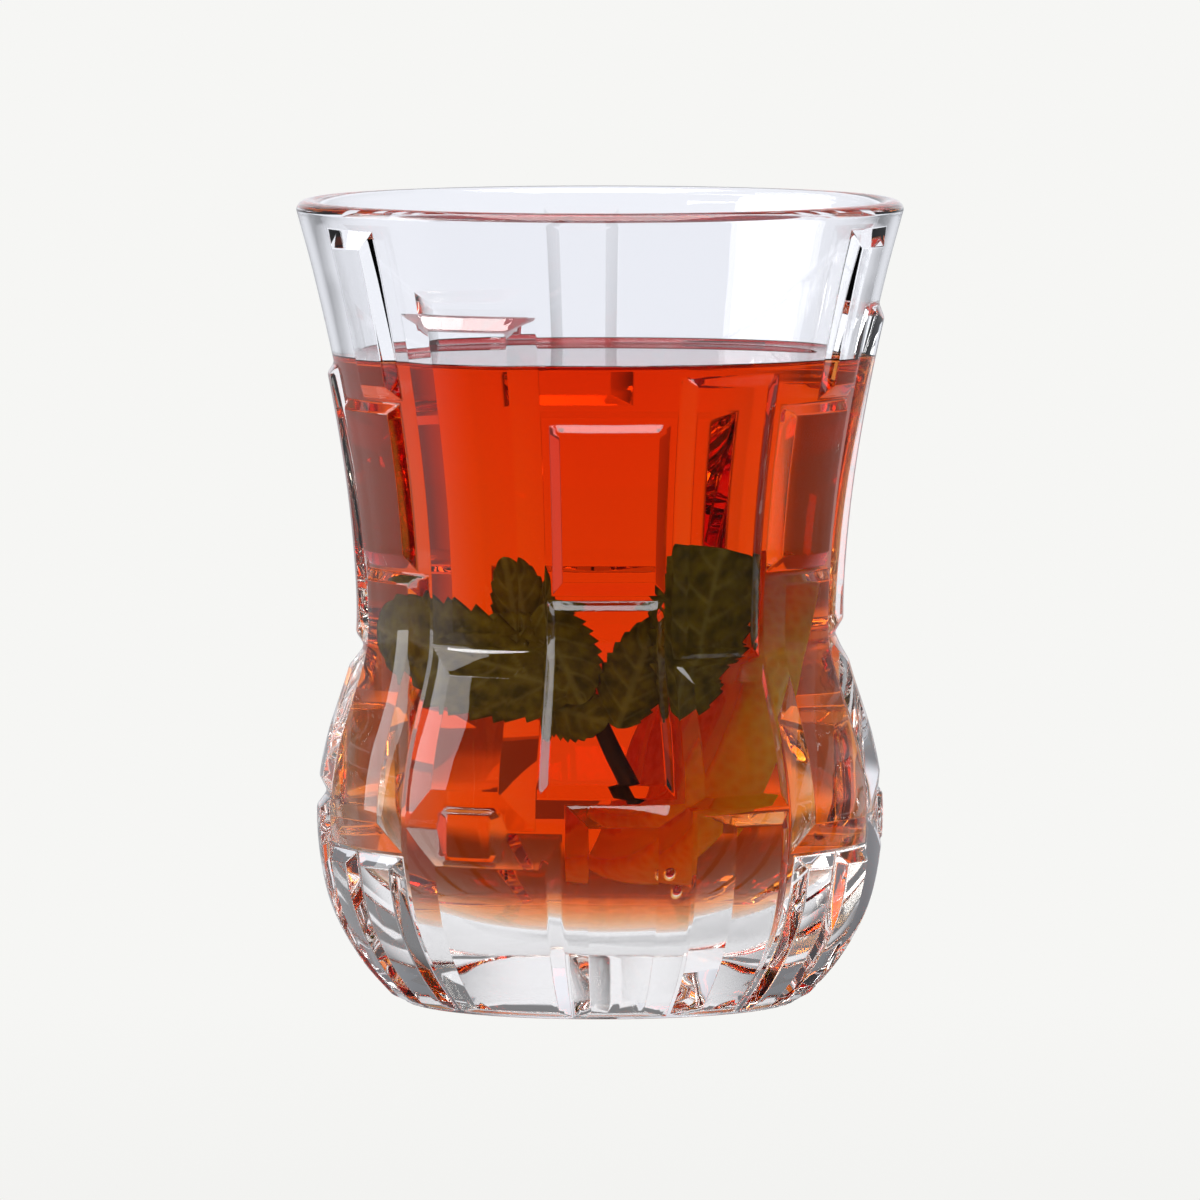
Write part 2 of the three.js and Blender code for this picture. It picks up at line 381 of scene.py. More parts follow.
# Soda-lime glass, pressed and fire-polished: colourless, mirror-smooth and bright at every edge.
GLASS_TINT = linear("#fdfdfe")
GLASS_IOR = 1.51
soda_lime_glass = new_material("soda_lime_glass")
tree = soda_lime_glass.node_tree
surface = add_node(tree, "ShaderNodeBsdfPrincipled", inputs={
    "Base Color": GLASS_TINT, "Roughness": 0.0, "IOR": GLASS_IOR, "Transmission Weight": 1.0,
})
add_node(tree, "ShaderNodeOutputMaterial", inputs={"Surface": surface.outputs[0]})
glass.data.materials.append(soda_lime_glass)

# The same glass where tea wets it: the two are so alike that the surface all but stops reflecting.
NO_REFLECTION = (0, 0, 0, 1)
wetted_glass = new_material("wetted_glass")
tree = wetted_glass.node_tree
surface = add_node(tree, "ShaderNodeBsdfPrincipled", inputs={
    "Base Color": GLASS_TINT, "Roughness": 0.0, "IOR": GLASS_IOR, "Transmission Weight": 1.0,
    "Specular Tint": NO_REFLECTION,
})
add_node(tree, "ShaderNodeOutputMaterial", inputs={"Surface": surface.outputs[0]})
glass.data.materials.append(wetted_glass)
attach(glass, "root")
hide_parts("glass")

# The tea
# Strong black tea, poured to a little below the rim. It wets the wall, so it reaches just into
# the glass with no air between, and climbs a little at the edge. Two air bubbles cling to the wall.
TEA_OVERLAP = 0.12
MENISCUS_REACH = 0.8
BUBBLE_FILM = 0.12
BUBBLE_DEPTH = 1.0
edge_radius = float(inner_radius(CONTACT_LINE)) + TEA_OVERLAP
top_profile = []
calm = np.linspace(0, edge_radius - 6, 12)[:-1]
climbing = np.linspace(edge_radius - 6, edge_radius, 30)
for r in np.concatenate([calm, climbing]):
    climb = MENISCUS_RISE * math.exp(-(edge_radius - r) / MENISCUS_REACH)
    top_profile.append((float(r), TEA_LEVEL + climb))
side_profile = cavity_profile(CONTACT_LINE, TEA_OVERLAP)


def behind_wall(angle, height, depth):
    """Points in the tea at a depth behind the inner wall."""
    radius = inner_radius(height) - depth
    turn = np.radians(angle)
    return np.stack([radius * np.sin(turn), -radius * np.cos(turn), height], axis=-1)


def grid_triangles(rows, columns):
    """Triangles over a grid of points that is stored row by row."""
    row, column = np.meshgrid(np.arange(rows - 1), np.arange(columns - 1), indexing="ij")
    a = (row * columns + column).ravel()
    b, c, d = a + 1, a + columns + 1, a + columns
    return np.concatenate([np.stack([a, b, c], axis=1), np.stack([a, c, d], axis=1)])


def air_bubble(angle, height, width, tall):
    """A small bubble pressed flat against the wall, as a hollow that faces inwards."""
    turn, rise = np.meshgrid(np.linspace(0, 2 * math.pi, 25), np.linspace(-math.pi / 2, math.pi / 2, 13))
    radius = float(inner_radius(height))
    sideways = width / 2 * np.cos(rise) * np.cos(turn)
    upward = tall / 2 * np.cos(rise) * np.sin(turn)
    depth = BUBBLE_FILM + BUBBLE_DEPTH / 2 * (1 + np.sin(rise))
    points = behind_wall(angle + np.degrees(sideways / radius), height + upward, depth)
    middle = behind_wall(angle, height, BUBBLE_FILM + BUBBLE_DEPTH / 2)
    inward = middle - points
    inward /= np.linalg.norm(inward, axis=-1, keepdims=True)
    triangles = grid_triangles(*turn.shape)
    return points.reshape(-1, 3), inward.reshape(-1, 3), triangles


tea = joined_mesh("black_tea", [
    turned(side_profile[::-1], PATTERN_START, 160),
    turned(top_profile[::-1], PATTERN_START, 160),
    air_bubble(16.8, 15.8, 1.3, 1.3),
    air_bubble(19.5, 14.0, 1.2, 1.3),
], [WETTED, DRY, DRY, DRY])

# Brewed tea: clear, and the deeper the light goes the redder it comes out.
CLEAR = (1, 1, 1, 1)
WATER_IOR = 1.333
TEA_TINT = (0.9725, 0.635, 0.05, 1)
TEA_STRENGTH = 200.0
brewed_tea = new_material("brewed_tea")
tree = brewed_tea.node_tree
surface = add_node(tree, "ShaderNodeBsdfPrincipled", inputs={
    "Base Color": CLEAR, "Roughness": 0.0, "IOR": WATER_IOR, "Transmission Weight": 1.0,
})
depth_tint = add_node(tree, "ShaderNodeVolumeAbsorption", inputs={
    "Color": TEA_TINT, "Density": TEA_STRENGTH,
})
add_node(tree, "ShaderNodeOutputMaterial", inputs={
    "Surface": surface.outputs[0], "Volume": depth_tint.outputs[0],
})
tea.data.materials.append(brewed_tea)

# The same tea where it lies against the glass, with next to no reflection.
tea_on_glass = new_material("tea_on_glass")
tree = tea_on_glass.node_tree
surface = add_node(tree, "ShaderNodeBsdfPrincipled", inputs={
    "Base Color": CLEAR, "Roughness": 0.0, "IOR": WATER_IOR, "Transmission Weight": 1.0,
    "Specular Tint": NO_REFLECTION,
})
depth_tint = add_node(tree, "ShaderNodeVolumeAbsorption", inputs={
    "Color": TEA_TINT, "Density": TEA_STRENGTH,
})
add_node(tree, "ShaderNodeOutputMaterial", inputs={
    "Surface": surface.outputs[0], "Volume": depth_tint.outputs[0],
})
tea.data.materials.append(tea_on_glass)
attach(tea, "root")
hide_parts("tea")

# The mint
# A sprig of fresh mint sunk in the tea close to the front wall: a dark stem with toothed leaves
# that are quilted between their veins and lie along the glass.
LEAF_ROWS = 90
LEAF_COLUMNS = 29
LEAF_THICKNESS = 0.3
LEAF_BASE = 0.55
LEAF_TEETH = 10
TOOTH_DEPTH = 0.16
LEAF_VEINS = 5.5
VEIN_SLANT = 0.16
VEIN_BEND = 0.1
VEIN_STAGGER = 0.04
VEIN_WIDTH = 0.3
QUILT = 0.4
CLEAR_OF_WALL = 0.35

# Each leaf runs from its base to its tip: degrees from the front, height, and depth behind the wall
# in millimetres. Then come its width, how blunt its tip is and how far it folds along the midrib.
MINT_LEAVES = {
    "far_left": dict(base=(-6.4, 33.8, 2.6), tip=(-77, 40.2, 1.2), width=13.0, blunt=0.45, fold=0.08),
    "upright": dict(base=(-23, 36.6, 3.4), tip=(-28.6, 48.7, 3.6), width=5.6, blunt=0.6, fold=0.3),
    "slim_upright": dict(base=(-19, 38.0, 3.6), tip=(-16.6, 48.0, 3.6), width=3.2, blunt=0.9, fold=0.4),
    "small_left": dict(base=(-13.2, 38.0, 2.6), tip=(-32.5, 42.4, 2.6), width=5.0, blunt=0.8, fold=0.3),
    "centre": dict(base=(-18, 43.8, 2.4), tip=(-5, 32.4, 2.4), width=8.0, blunt=0.6, fold=0.2),
    "low_left": dict(base=(-18.5, 32.6, 3.2), tip=(2.2, 30.2, 2.8), width=6.5, blunt=0.6, fold=0.25),
    "small_right": dict(base=(4.9, 29.7, 2.8), tip=(16.6, 42.6, 2.6), width=7.0, blunt=0.7, fold=0.2),
    "large_right": dict(base=(23.5, 30.6, 1.8), tip=(34.0, 49.6, 1.6), width=12.0, blunt=0.22, fold=0.1),
}


def mint_leaf(base, tip, width, blunt, fold):
    """Points, triangles and vein marks of one leaf, its two faces joined along the toothed edge."""
    rows = np.linspace(0, 1, LEAF_ROWS)
    columns = np.linspace(-1, 1, LEAF_COLUMNS)
    along, across = np.meshgrid(rows, columns, indexing="ij")
    off_rib = np.abs(across)
    widest = LEAF_BASE / (LEAF_BASE + blunt)
    widest_oval = widest ** LEAF_BASE * (1 - widest) ** blunt
    oval = along ** LEAF_BASE * (1 - along) ** blunt / widest_oval
    tooth = (along * LEAF_TEETH) % 1
    half_width = width / 2 * oval * (1 + TOOTH_DEPTH * (tooth - 0.6) * off_rib ** 4)
    sideways = half_width * across

    branch = along - VEIN_SLANT * off_rib - VEIN_BEND * off_rib ** 2 + VEIN_STAGGER * np.sign(across)
    between = np.abs((branch * LEAF_VEINS) % 1 - 0.5) * 2
    pillow = (1 - between ** 3) * np.sqrt(off_rib) * (1 - off_rib ** 6)
    lift = QUILT * pillow * oval - fold * np.abs(sideways)

    mean_radius = float(inner_radius((base[1] + tip[1]) / 2)) - (base[2] + tip[2]) / 2
    run = math.radians(tip[0] - base[0]) * mean_radius
    climb = tip[1] - base[1]
    length = math.hypot(run, climb)
    off_branch = (1 - between) / 2 * length / LEAF_VEINS
    vein = np.clip(1.3 - off_branch / VEIN_WIDTH, 0, 1) * (1 - off_rib) ** 0.7
    vein = np.maximum(vein, np.clip(1.5 - np.abs(sideways) / VEIN_WIDTH, 0, 1))

    round_wall = along * run - sideways * climb / length
    up_wall = along * climb + sideways * run / length
    angle = base[0] + np.degrees(round_wall / mean_radius)
    height = base[1] + up_wall
    depth = np.maximum(base[2] + (tip[2] - base[2]) * along - lift, CLEAR_OF_WALL)
    on_edge = (off_rib == 1) | (along == 0) | (along == 1)
    back_depth = depth + np.where(on_edge, 0, LEAF_THICKNESS)
    front = grid_triangles(LEAF_ROWS, LEAF_COLUMNS)[:, ::-1]
    back = front[:, ::-1] + along.size
    points = [behind_wall(angle, height, d).reshape(-1, 3) for d in (depth, back_depth)]
    return (np.concatenate(points), None, np.concatenate([front, back])), np.tile(vein.ravel(), 2)


# The stem's path, given as the leaves' ends are.
STEM_PATH = [
    (-9.9, 39.0, 4.2), (-8.3, 37.4, 4.2), (-3.1, 32.5, 4.0), (2.9, 27.7, 3.8), (8.7, 24.0, 3.6),
    (11, 22.4, 3.6),
]
STEM_WIDTH = 1.9
STEM_TOP_SHARE = 0.75
STEM_SIDES = 8
STEM_ROWS = 40


def stem_tube():
    """The stem as a tube that follows its path smoothly and thins towards the top."""
    path = np.array(STEM_PATH)
    t = np.linspace(0, len(path) - 1, STEM_ROWS)
    smooth = np.stack([np.interp(t, np.arange(len(path)), path[:, k]) for k in range(3)], axis=1)
    for _ in range(6):
        smooth[1:-1] = (smooth[:-2] + 2 * smooth[1:-1] + smooth[2:]) / 4
    centre = behind_wall(smooth[:, 0], smooth[:, 1], smooth[:, 2])
    ahead = np.gradient(centre, axis=0)
    ahead /= np.linalg.norm(ahead, axis=1, keepdims=True)
    side = np.cross(ahead, (0.0, 1.0, 0.0))
    side /= np.linalg.norm(side, axis=1, keepdims=True)
    front = np.cross(ahead, side)
    half_width = STEM_WIDTH / 2 * np.linspace(STEM_TOP_SHARE, 1.0, STEM_ROWS)
    turn = np.linspace(0, 2 * math.pi, STEM_SIDES + 1)
    ring = side[:, None] * np.cos(turn)[None, :, None] + front[:, None] * np.sin(turn)[None, :, None]
    body = centre[:, None] + ring * half_width[:, None, None]
    ends = [np.repeat(centre[[i], None], STEM_SIDES + 1, axis=1) for i in (0, -1)]
    points = np.concatenate([ends[0], body, ends[1]]).reshape(-1, 3)
    return (points, None, grid_triangles(STEM_ROWS + 2, STEM_SIDES + 1)), np.zeros(len(points))


leaves = [mint_leaf(**leaf) for leaf in MINT_LEAVES.values()]
stem = stem_tube()
LEAF, STEM = 0, 1
sprig = leaves + [stem]
sprig_finishes = [LEAF] * len(leaves) + [STEM]
vein_marks = {"vein": [marks for _, marks in sprig]}
mint = joined_mesh("mint_sprig", [piece for piece, _ in sprig], sprig_finishes, vein_marks)

# Mint leaf, scalded by the tea: dull olive green, mottled, with slightly paler veins.
mint_leaf_skin = new_material("mint_leaf_skin")
tree = mint_leaf_skin.node_tree
veins = add_node(tree, "ShaderNodeAttribute", {"attribute_name": "vein"})
place = add_node(tree, "ShaderNodeTexCoord")
mottle = add_node(tree, "ShaderNodeTexNoise", inputs={
    "Vector": place.outputs["Object"], "Scale": 1 / (1.6 * MM), "Detail": 3.0,
})
patches = add_node(tree, "ShaderNodeMapRange", inputs={
    "Value": mottle.outputs[0], "From Min": 0.35, "From Max": 0.65,
})
blade = add_node(tree, "ShaderNodeMix", {"data_type": "RGBA"}, {
    "Factor": patches.outputs[0], 6: linear("#4e450c"), 7: linear("#70651a"),
})
paleness = add_node(tree, "ShaderNodeMath", {"operation": "MULTIPLY"}, {0: veins.outputs["Fac"], 1: 0.28})
colour = add_node(tree, "ShaderNodeMix", {"data_type": "RGBA"}, {
    "Factor": paleness.outputs[0], 6: blade.outputs[2], 7: linear("#a39a5c"),
})
surface = add_node(tree, "ShaderNodeBsdfPrincipled", inputs={
    "Base Color": colour.outputs[2], "Roughness": 0.6, "Specular IOR Level": 0.05,
})
add_node(tree, "ShaderNodeOutputMaterial", inputs={"Surface": surface.outputs[0]})
mint.data.materials.append(mint_leaf_skin)

# Mint stem: a smooth skin, purple-brown.
mint_stem_skin = new_material("mint_stem_skin")
tree = mint_stem_skin.node_tree
place = add_node(tree, "ShaderNodeTexCoord")
streak = add_node(tree, "ShaderNodeTexNoise", inputs={
    "Vector": place.outputs["Object"], "Scale": 1 / (2.0 * MM), "Detail": 2.0,
})
colour = add_node(tree, "ShaderNodeMix", {"data_type": "RGBA"}, {
    "Factor": streak.outputs[0], 6: linear("#2c120a"), 7: linear("#4c2614"),
})
surface = add_node(tree, "ShaderNodeBsdfPrincipled", inputs={
    "Base Color": colour.outputs[2], "Roughness": 0.5, "Specular IOR Level": 0.05,
})
add_node(tree, "ShaderNodeOutputMaterial", inputs={"Surface": surface.outputs[0]})
mint.data.materials.append(mint_stem_skin)
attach(mint, "root")

# The lemon
# Half a slice of lemon standing on edge in the tea, its peel towards the front wall and a cut face
# turned to the left: juicy segments in thin walls, white pith and yellow peel.
LEMON_RADIUS = 18.5
LEMON_THICKNESS = 5.5
LEMON_MIDDLE = (7.6, 4.2, 30.5)
LEMON_TURN = 65.0
LEMON_TILT = 84.0
LEMON_LEAN = 20.0
PEEL = 1.3
PITH = 2.4
PEEL_CROWN = 0.5
PEEL_EDGE = 0.6
SEGMENTS = 9
SEGMENT_WALL = 0.45
SEGMENT_CORNER = 1.6
CORE = 1.6
ZONE_BLUR = 0.3
FLESH_BULGE = 0.25
LEMON_RINGS = 50
LEMON_SPOKES = 120
PEEL_ROWS = 11


def lemon_marks(radius, angle):
    """How much a place on the cut face is peel, and how much it is pith or the wall of a segment."""
    peel = np.clip((radius - (LEMON_RADIUS - PEEL)) / ZONE_BLUR + 0.5, 0, 1)
    segment = np.abs((angle / (2 * math.pi) * SEGMENTS) % 1 - 0.5) * 2
    off_wall = (1 - segment) * math.pi * radius / SEGMENTS
    rounding = SEGMENT_CORNER * (1 - np.clip(off_wall / 2.0, 0, 1)) ** 2
    flesh_edge = LEMON_RADIUS - PEEL - PITH - rounding
    pith = np.clip((radius - flesh_edge) / ZONE_BLUR + 0.5, 0, 1)
    wall = np.clip(1.5 - off_wall / SEGMENT_WALL, 0, 1)
    core = np.clip(1.5 - radius / CORE, 0, 1)
    return peel, np.maximum(pith, np.maximum(wall, core))


def lemon_place(across, up, outward):
    """Points of the slice, which is turned about the upright axis and leans to the right."""
    turn, tilt, lean = [math.radians(a) for a in (LEMON_TURN, LEMON_TILT, LEMON_LEAN)]
    level = across * math.cos(tilt) - up * math.sin(tilt)
    rise = across * math.sin(tilt) + up * math.cos(tilt)
    aside = rise * math.sin(lean) - outward * math.cos(lean)
    height = rise * math.cos(lean) + outward * math.sin(lean)
    return np.stack([
        LEMON_MIDDLE[0] + level * math.cos(turn) + aside * math.sin(turn),
        LEMON_MIDDLE[1] - level * math.sin(turn) + aside * math.cos(turn),
        LEMON_MIDDLE[2] + height,
    ], axis=-1).reshape(-1, 3)


def lemon_edge(ring):
    """Half the slice's thickness, which drops where the peel rounds off."""
    return LEMON_THICKNESS / 2 - PEEL_EDGE * np.clip((ring - 0.97) / 0.03, 0, 1) ** 2


# The two cut faces, with juicy segments that stand a little proud.
half_turn = np.linspace(0, math.pi, LEMON_SPOKES)
ring, spoke = np.meshgrid(np.linspace(0, 1, LEMON_RINGS), half_turn, indexing="ij")
radius = ring * LEMON_RADIUS
peel, pith = lemon_marks(radius, spoke)
inside = (ring > 0) & (ring < 1) & (spoke > 0) & (spoke < math.pi)
face = lemon_edge(ring) + np.where(inside, FLESH_BULGE * (1 - pith) * np.sin(np.pi * ring), 0)
across, up = radius * np.cos(spoke), -radius * np.sin(spoke)
face_triangles = grid_triangles(*ring.shape)
juicy = pith.ravel()[face_triangles].mean(axis=1) < 0.5
FLESH, RIND = 0, 1
lemon_pieces = []
lemon_finishes = []
lemon_zones = {"peel": [], "pith": []}


def add_lemon_face(points, triangles, peel, pith, finish):
    lemon_pieces.append((points, None, triangles))
    lemon_finishes.append(finish)
    lemon_zones["peel"].append(peel.ravel())
    lemon_zones["pith"].append(pith.ravel())


for side in (1, -1):
    points = lemon_place(across, up, side * face)
    triangles = face_triangles[:, ::side]
    add_lemon_face(points, triangles[juicy], peel, pith, FLESH)
    add_lemon_face(points, triangles[~juicy], peel, pith, RIND)

# The peel round the outside, slightly crowned.
row, spoke = np.meshgrid(np.linspace(-1, 1, PEEL_ROWS), half_turn, indexing="ij")
crown = LEMON_RADIUS + PEEL_CROWN * (1 - row ** 2)
peel_place = lemon_place(crown * np.cos(spoke), -crown * np.sin(spoke), row * lemon_edge(1.0))
whole = np.ones(row.size)
add_lemon_face(peel_place, grid_triangles(*row.shape)[:, ::-1], whole, whole, RIND)

# The straight cut that halves the slice.
stops = np.linspace(-1, 1, 2 * LEMON_RINGS - 1)
row, ring = np.meshgrid(np.linspace(-1, 1, PEEL_ROWS), stops, indexing="ij")
reach = LEMON_RADIUS * ring + np.where(np.abs(ring) == 1, PEEL_CROWN * (1 - row ** 2) * ring, 0)
cut_place = lemon_place(reach, np.zeros_like(reach), row * lemon_edge(np.abs(ring)))
peel, pith = lemon_marks(np.abs(reach), math.pi / SEGMENTS)
cut_triangles = grid_triangles(*row.shape)[:, ::-1]
juicy = pith.ravel()[cut_triangles].mean(axis=1) < 0.5
add_lemon_face(cut_place, cut_triangles[juicy], peel, pith, FLESH)
add_lemon_face(cut_place, cut_triangles[~juicy], peel, pith, RIND)
lemon = joined_mesh("lemon_slice", lemon_pieces, lemon_finishes, lemon_zones)

# Lemon flesh: juice sacs that let much of the light through, amber in the tea, in paler walls.
lemon_flesh = new_material("lemon_flesh")
tree = lemon_flesh.node_tree
pith_mark = add_node(tree, "ShaderNodeAttribute", {"attribute_name": "pith"})
place = add_node(tree, "ShaderNodeTexCoord")
juice = add_node(tree, "ShaderNodeTexNoise", inputs={
    "Vector": place.outputs["Object"], "Scale": 1 / (1.5 * MM), "Detail": 4.0,
})
sacs = add_node(tree, "ShaderNodeMapRange", inputs={
    "Value": juice.outputs[0], "From Min": 0.35, "From Max": 0.65,
})
flesh = add_node(tree, "ShaderNodeMix", {"data_type": "RGBA"}, {
    "Factor": sacs.outputs[0], 6: linear("#e2a42c"), 7: linear("#fcd468"),
})
colour = add_node(tree, "ShaderNodeMix", {"data_type": "RGBA"}, {
    "Factor": pith_mark.outputs["Fac"], 6: flesh.outputs[2], 7: linear("#fff6dc"),
})
surface = add_node(tree, "ShaderNodeBsdfPrincipled", inputs={
    "Base Color": colour.outputs[2], "Roughness": 0.6, "IOR": 1.1, "Specular IOR Level": 0.05,
    "Transmission Weight": 0.5, "Subsurface Weight": 0.7,
    "Subsurface Radius": (4.0 * MM, 2.5 * MM, 1.0 * MM), "Subsurface Scale": 1.0,
})
add_node(tree, "ShaderNodeOutputMaterial", inputs={"Surface": surface.outputs[0]})
lemon.data.materials.append(lemon_flesh)

# Lemon rind: chalky white pith under a waxy yellow peel with fine oil pores.
lemon_rind = new_material("lemon_rind")
tree = lemon_rind.node_tree
peel_mark = add_node(tree, "ShaderNodeAttribute", {"attribute_name": "peel"})
place = add_node(tree, "ShaderNodeTexCoord")
pores = add_node(tree, "ShaderNodeTexVoronoi", inputs={
    "Vector": place.outputs["Object"], "Scale": 1 / (1.1 * MM),
})
skin = add_node(tree, "ShaderNodeMix", {"data_type": "RGBA"}, {
    "Factor": pores.outputs["Distance"], 6: linear("#f6b400"), 7: linear("#ffdc28"),
})
colour = add_node(tree, "ShaderNodeMix", {"data_type": "RGBA"}, {
    "Factor": peel_mark.outputs["Fac"], 6: linear("#ffeeb4"), 7: skin.outputs[2],
})
bump = add_node(tree, "ShaderNodeBump", inputs={
    "Height": pores.outputs["Distance"], "Strength": 0.3, "Distance": 0.2 * MM,
})
surface = add_node(tree, "ShaderNodeBsdfPrincipled", inputs={
    "Base Color": colour.outputs[2], "Roughness": 0.5, "IOR": 1.1, "Specular IOR Level": 0.05,
    "Normal": bump.outputs[0], "Transmission Weight": 0.4, "Subsurface Weight": 0.9,
    "Subsurface Radius": (6.0 * MM, 4.0 * MM, 1.2 * MM), "Subsurface Scale": 1.0,
})
add_node(tree, "ShaderNodeOutputMaterial", inputs={"Surface": surface.outputs[0]})
lemon.data.materials.append(lemon_rind)
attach(lemon, "root")

# The table, light and camera
# A white table that runs into a bright backdrop, with a soft light at the left, a long one above it
# and a large one overhead.
TABLE_RADIUS = 6.0
PAPER_GLOW = 0.98
SIDE_GLOW = 0.24
FRONT_GLOW = 0.08
PAPER_EDGE = (0.84, 0.99)
COOL_WHITE = (0.98, 1.0, 1.06, 1)
WARM_WHITE = (1.0, 1.0, 0.982, 1)
# The painted shadow of the glass on the table: its middle, its size, its soft edge and how dark it is.
SHADE_MIDDLE = (0, 0.066, 0)
SHADE_SIZE = (0.07, 0.042, 1)
SHADE_EDGE = (0.75, 1.15)
SHADE_GLOW = 0.25
# The painted pool of light round the glass: full out to the first distance and gone by the second.
NEAR_TABLE = (0.28, 0.6)
# The painted reflection: the table's glow as reflections show it, dim at the front and brighter towards the
# back left.
BACK_LEFT = (-0.5, 0.85, 0)
MIRRORED_GLOW = (0.04, 0.5)
SEEN_GLOW = (0.885, 0.922)
table_mesh = bpy.data.meshes.new("table")
ring = [(TABLE_RADIUS * math.cos(t), TABLE_RADIUS * math.sin(t), 0.0)
        for t in np.linspace(0, 2 * math.pi, 97)[:-1]]
table_mesh.from_pydata(ring, [], [list(range(len(ring)))])
table = bpy.data.objects.new("table", table_mesh)
bpy.context.scene.collection.objects.link(table)


def studio_glow(tree, direction):
    """How bright the studio is in a direction: lit paper behind, dimmer sides and a dark front."""
    level = add_node(tree, "ShaderNodeVectorMath", {"operation": "MULTIPLY"}, {
        0: direction, 1: (1, 1, 0),
    })
    heading = add_node(tree, "ShaderNodeVectorMath", {"operation": "NORMALIZE"}, {0: level.outputs[0]})
    split = add_node(tree, "ShaderNodeSeparateXYZ", inputs={0: heading.outputs[0]})
    sides = add_node(tree, "ShaderNodeMapRange", {"interpolation_type": "SMOOTHSTEP"}, {
        "Value": split.outputs["Y"], "From Min": -0.4, "From Max": 0.3,
        "To Min": FRONT_GLOW, "To Max": SIDE_GLOW,
    })
    paper = add_node(tree, "ShaderNodeMapRange", {"interpolation_type": "SMOOTHSTEP"}, {
        "Value": split.outputs["Y"], "From Min": PAPER_EDGE[0], "From Max": PAPER_EDGE[1],
        "To Min": 0.0, "To Max": PAPER_GLOW,
    })
    glow = add_node(tree, "ShaderNodeMath", {"operation": "MAXIMUM"}, {
        0: sides.outputs[0], 1: paper.outputs[0],
    })
    return glow.outputs[0], heading.outputs[0]


# White laminate that glows as a light, nearly even where the camera sees it. Other rays see it brightest
# round the glass and behind it, with a painted pool of light round the glass and a painted soft shadow of the
# glass behind it; reflections see a painted, dimmer glow.
white_table = new_material("white_table")
tree = white_table.node_tree
place = add_node(tree, "ShaderNodeTexCoord").outputs["Object"]
behind, heading = studio_glow(tree, place)
far = add_node(tree, "ShaderNodeVectorMath", {"operation": "LENGTH"}, {0: place})
# Painted pool of light round the glass.
near = add_node(tree, "ShaderNodeMapRange", {"interpolation_type": "SMOOTHSTEP"}, {
    "Value": far.outputs["Value"], "From Min": NEAR_TABLE[0], "From Max": NEAR_TABLE[1],
    "To Min": PAPER_GLOW, "To Max": 0.0,
})
lit = add_node(tree, "ShaderNodeMath", {"operation": "MAXIMUM"}, {0: behind, 1: near.outputs[0]})
# Painted soft shadow of the glass behind it, seen by every ray but the camera's and reflections.
shade_place = add_node(tree, "ShaderNodeVectorMath", {"operation": "SUBTRACT"}, {
    0: place, 1: SHADE_MIDDLE,
})
shade_size = add_node(tree, "ShaderNodeVectorMath", {"operation": "DIVIDE"}, {
    0: shade_place.outputs[0], 1: SHADE_SIZE,
})
shade_far = add_node(tree, "ShaderNodeVectorMath", {"operation": "LENGTH"}, {0: shade_size.outputs[0]})
shade = add_node(tree, "ShaderNodeMapRange", {"interpolation_type": "SMOOTHSTEP"}, {
    "Value": shade_far.outputs["Value"], "From Min": SHADE_EDGE[0], "From Max": SHADE_EDGE[1],
    "To Min": SHADE_GLOW, "To Max": 1.0,
})
shaded = add_node(tree, "ShaderNodeMath", {"operation": "MULTIPLY"}, {
    0: lit.outputs[0], 1: shade.outputs[0],
})
# Painted reflection: a dimmer glow for reflection rays, brighter towards the back left.
toward_left = add_node(tree, "ShaderNodeVectorMath", {"operation": "DOT_PRODUCT"}, {
    0: heading, 1: BACK_LEFT,
})
mirrored = add_node(tree, "ShaderNodeMapRange", {"interpolation_type": "SMOOTHSTEP"}, {
    "Value": toward_left.outputs["Value"], "From Min": -0.1, "From Max": 0.4,
    "To Min": MIRRORED_GLOW[0], "To Max": MIRRORED_GLOW[1],
})
split = add_node(tree, "ShaderNodeSeparateXYZ", inputs={0: place})
seen = add_node(tree, "ShaderNodeMapRange", inputs={
    "Value": split.outputs["Y"], "From Min": -0.25, "From Max": 0.0,
    "To Min": SEEN_GLOW[0], "To Max": SEEN_GLOW[1],
})
path = add_node(tree, "ShaderNodeLightPath")
bounced = add_node(tree, "ShaderNodeMix", inputs={
    0: path.outputs["Is Reflection Ray"], 2: shaded.outputs[0], 3: mirrored.outputs[0],
})
glow = add_node(tree, "ShaderNodeMix", inputs={
    0: path.outputs["Is Camera Ray"], 2: bounced.outputs[0], 3: seen.outputs[0],
})
tint = add_node(tree, "ShaderNodeMix", {"data_type": "RGBA"}, {
    "Factor": path.outputs["Is Camera Ray"], 6: COOL_WHITE, 7: WARM_WHITE,
})
surface = add_node(tree, "ShaderNodeEmission", inputs={"Color": tint.outputs[2], "Strength": glow.outputs[0]})
add_node(tree, "ShaderNodeOutputMaterial", inputs={"Surface": surface.outputs[0]})
table_mesh.materials.append(white_table)

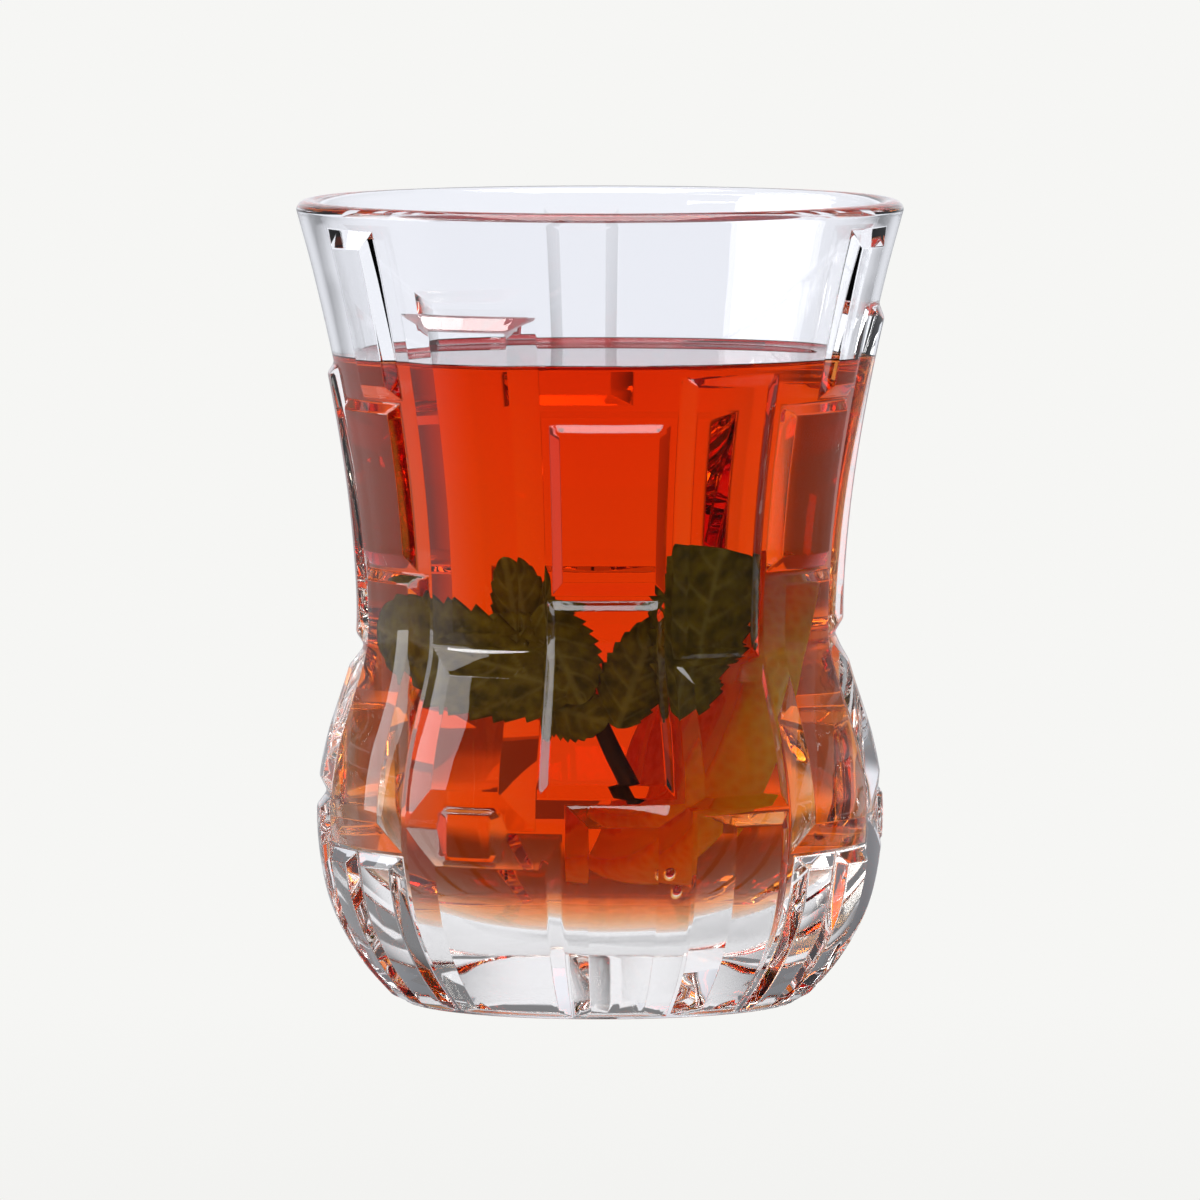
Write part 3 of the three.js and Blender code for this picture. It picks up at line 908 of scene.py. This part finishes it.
# The backdrop and the dim studio round it, darker higher up.
SKY_GLOW = 0.6
world = bpy.data.worlds.new("studio")
bpy.context.scene.world = world
world.use_nodes = True
tree = world.node_tree
tree.nodes.clear()
direction = add_node(tree, "ShaderNodeTexCoord").outputs["Generated"]
behind, _ = studio_glow(tree, direction)
split = add_node(tree, "ShaderNodeSeparateXYZ", inputs={0: direction})
low = add_node(tree, "ShaderNodeMapRange", {"interpolation_type": "SMOOTHSTEP"}, {
    "Value": split.outputs["Z"], "From Min": 0.4, "From Max": 0.65, "To Min": 1.0, "To Max": SKY_GLOW,
})
glow = add_node(tree, "ShaderNodeMath", {"operation": "MULTIPLY"}, {0: behind, 1: low.outputs[0]})
background = add_node(tree, "ShaderNodeBackground", inputs={"Color": COOL_WHITE, "Strength": glow.outputs[0]})
add_node(tree, "ShaderNodeOutputWorld", inputs={"Surface": background.outputs[0]})


def soft_light(name, place, target, size, radiance):
    """A rectangular soft light of a given brightness, aimed at a target."""
    lamp = bpy.data.lights.new(name, "AREA")
    lamp.shape = "RECTANGLE"
    lamp.size, lamp.size_y = size
    lamp.energy = radiance * math.pi * size[0] * size[1]
    holder = bpy.data.objects.new(name, lamp)
    holder.location = place
    holder.rotation_euler = (Vector(target) - Vector(place)).to_track_quat("-Z", "Y").to_euler()
    bpy.context.scene.collection.objects.link(holder)


soft_light("left_softbox", (-0.70, -0.02, 0.26), (0, 0, 0.05), (0.62, 0.60), 3.6)
soft_light("upper_left_strip", (-0.586, -0.273, 0.435), (-0.11, 0.24, 0.09), (0.58, 0.05), 15.0)
soft_light("overhead_softbox", (0, -0.20, 0.80), (0, 0, 0), (0.8, 0.9), 6.5)

CAMERA_DISTANCE = 1.5
CAMERA_HEIGHT = 0.157
LOOK_HEIGHT = 0.0425
camera_data = bpy.data.cameras.new("camera")
camera_data.lens = 426
camera_data.sensor_width = 36
camera_data.clip_end = 100
camera = bpy.data.objects.new("camera", camera_data)
camera.location = (0, -CAMERA_DISTANCE, CAMERA_HEIGHT)
aim = Vector((0, 0, LOOK_HEIGHT)) - camera.location
camera.rotation_euler = aim.to_track_quat("-Z", "Y").to_euler()
bpy.context.scene.collection.objects.link(camera)
scene = bpy.context.scene
scene.camera = camera
scene.view_settings.view_transform = "Standard"
scene.cycles.max_bounces = 32
scene.cycles.transmission_bounces = 32
scene.cycles.glossy_bounces = 16
scene.cycles.transparent_max_bounces = 16
scene.cycles.use_denoising = True
scene.cycles.caustics_refractive = True
scene.cycles.caustics_reflective = True
